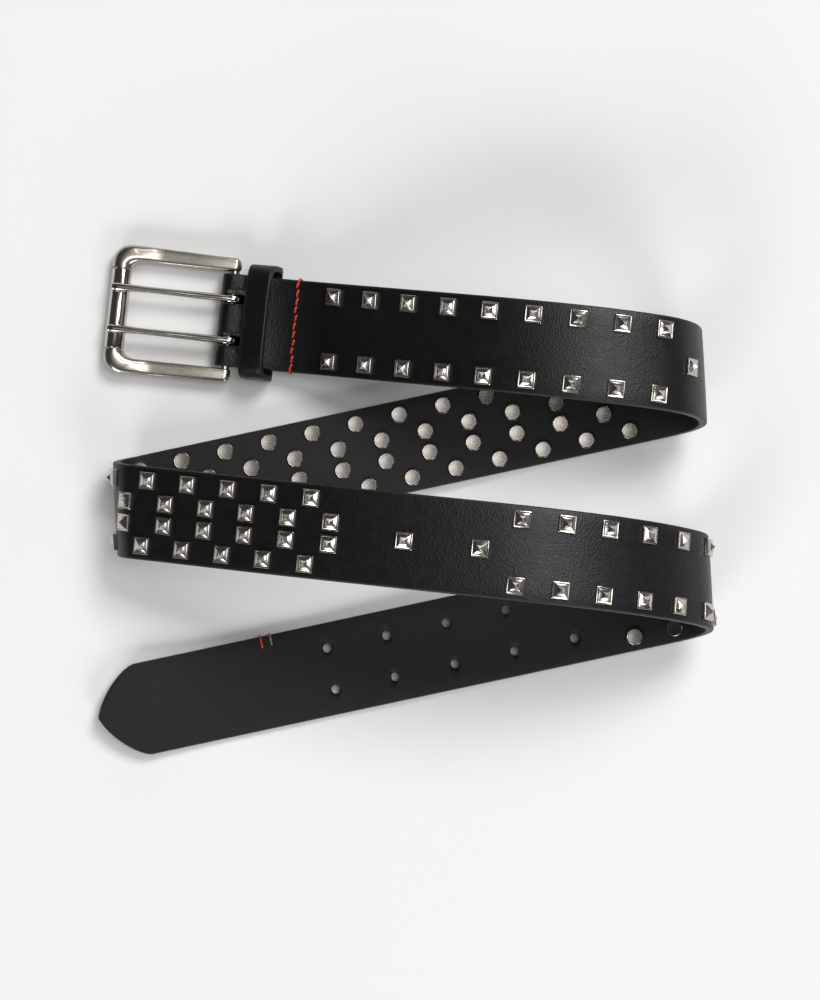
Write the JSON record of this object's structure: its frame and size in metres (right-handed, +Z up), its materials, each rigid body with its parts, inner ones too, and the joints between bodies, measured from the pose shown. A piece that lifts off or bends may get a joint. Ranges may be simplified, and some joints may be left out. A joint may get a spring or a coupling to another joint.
{
  "type": "studded leather belt",
  "caption": "Black leather belt with rows of pyramid studs, a keeper and a roller buckle with paired prongs, laid down in loose loops.",
  "frame": {"origin": "middle of the belt's footprint, on the table that it lies on", "axes": "+X along the strands, from the buckle's end towards the right-hand bends; +Y across the strands, from the tail towards the buckle; +Z up from the table"},
  "size_m": [0.2534, 0.2098, 0.079],
  "materials": {
    "black_leather": "smooth black grain, semi-gloss, with a fibrous flesh side",
    "buckle_nickel": "nickel plate over cast zinc, satin on the flats and bright on the rounded corners",
    "stud_nickel": "polished nickel plate with fine file marks"
  },
  "bodies": {
    "belt": {"strap": "black_leather", "keeper_loop": "black_leather", "stud_row1_upper_1": "stud_nickel", "stud_row1_upper_2": "stud_nickel", "stud_row1_upper_3": "stud_nickel", "stud_row1_upper_4": "stud_nickel", "stud_row1_upper_5": "stud_nickel", "stud_row1_upper_6": "stud_nickel", "stud_row1_upper_7": "stud_nickel", "stud_row1_upper_8": "stud_nickel", "stud_row1_upper_9": "stud_nickel", "stud_row1_lower_1": "stud_nickel", "stud_row1_lower_2": "stud_nickel", "stud_row1_lower_3": "stud_nickel", "stud_row1_lower_4": "stud_nickel", "stud_row1_lower_5": "stud_nickel", "stud_row1_lower_6": "stud_nickel", "stud_row1_lower_7": "stud_nickel", "stud_row1_lower_8": "stud_nickel", "stud_row1_lower_9": "stud_nickel", "stud_row2_upper_1": "stud_nickel", "stud_row2_upper_2": "stud_nickel", "stud_row2_upper_3": "stud_nickel", "stud_row2_upper_4": "stud_nickel", "stud_row2_upper_5": "stud_nickel", "stud_row2_upper_6": "stud_nickel", "stud_row2_upper_7": "stud_nickel", "stud_row2_upper_8": "stud_nickel", "stud_row2_upper_9": "stud_nickel", "stud_row2_lower_1": "stud_nickel", "stud_row2_lower_2": "stud_nickel", "stud_row2_lower_3": "stud_nickel", "stud_row2_lower_4": "stud_nickel", "stud_row2_lower_5": "stud_nickel", "stud_row2_lower_6": "stud_nickel", "stud_row2_lower_7": "stud_nickel", "stud_row2_lower_8": "stud_nickel", "stud_row2_lower_9": "stud_nickel", "stud_middle_1": "stud_nickel", "stud_middle_2": "stud_nickel", "stud_middle_3": "stud_nickel", "stud_middle_4": "stud_nickel"},
    "buckle": {"buckle_frame": "buckle_nickel"},
    "roller": {"roller": "buckle_nickel"},
    "prong_upper": {"prong_upper": "buckle_nickel"},
    "prong_lower": {"prong_lower": "buckle_nickel"}
  },
  "joints": [
    {"name": "buckle_swing", "type": "hinge", "parent": "belt", "child": "buckle", "pos_m": [-0.07307, 0.0738, 0.0058], "axis": [0.1054, 0.9944, 0], "range_deg": [-30, 30]},
    {"name": "prong_upper_swing", "type": "hinge", "parent": "buckle", "child": "prong_upper", "pos_m": [-0.07307, 0.0738, 0.0058], "axis": [0.1054, 0.9944, 0], "range_deg": [0, 60]},
    {"name": "prong_lower_swing", "type": "hinge", "parent": "buckle", "child": "prong_lower", "pos_m": [-0.07307, 0.0738, 0.0058], "axis": [0.1054, 0.9944, 0], "range_deg": [0, 60]},
    {"name": "roller_spin", "type": "hinge", "parent": "buckle", "child": "roller", "pos_m": [-0.11919, 0.07869, 0.0043], "axis": [0.1054, 0.9944, 0], "continuous": true}
  ]
}
